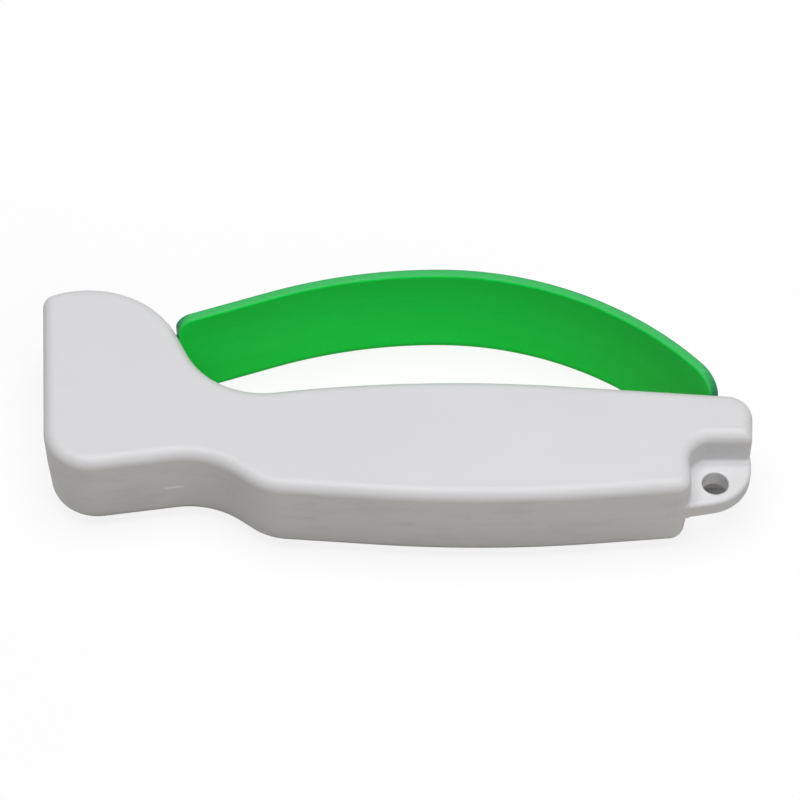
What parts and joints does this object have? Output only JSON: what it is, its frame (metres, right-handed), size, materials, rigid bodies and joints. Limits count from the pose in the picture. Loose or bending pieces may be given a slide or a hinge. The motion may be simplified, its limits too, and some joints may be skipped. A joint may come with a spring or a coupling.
{
  "type": "garden tool sharpener",
  "caption": "Hand-held V sharpener for garden tools: white moulded body with an arched green finger guard, crossed carbide blades in a slotted head and a lanyard tab.",
  "frame": {"origin": "middle of the box in plan, on the plane through the guard's lower edge as the tool lies on its back", "axes": "+X from the head to the tail, +Y from the palm side to the finger guard, +Z out of the front face"},
  "size_m": [0.1404, 0.0548, 0.0225],
  "materials": {
    "white_shell": "satin moulded, very light grey white",
    "green_guard": "satin to glossy moulded, bright green",
    "dark_holder": "matt moulded, dark grey",
    "white_cover": "satin moulded, very light grey white",
    "carbide": "ground hard metal, dark grey",
    "screw_steel": "bright zinc on steel",
    "nut_brass": "plain turned brass"
  },
  "bodies": {
    "body": {"front_shell": "white_shell", "rear_shell": "white_shell", "finger_guard": "green_guard", "captive_nut": "nut_brass"},
    "blade_cartridge": {"blade_holder": "dark_holder", "blade_retainer": "white_cover", "carbide_blade_left": "carbide", "carbide_blade_right": "carbide"},
    "screw": {"blade_screw": "screw_steel"}
  },
  "joints": [
    {"name": "cartridge_slide", "type": "slide", "parent": "body", "child": "blade_cartridge", "axis": [-0.9973, -0.0732, 0], "range_m": [0, 0.018]},
    {"name": "screw_turn", "type": "hinge", "parent": "blade_cartridge", "child": "screw", "pos_m": [-0.06879, 0.00203, 0.01125], "axis": [-0.9973, -0.0732, 0], "continuous": true}
  ]
}
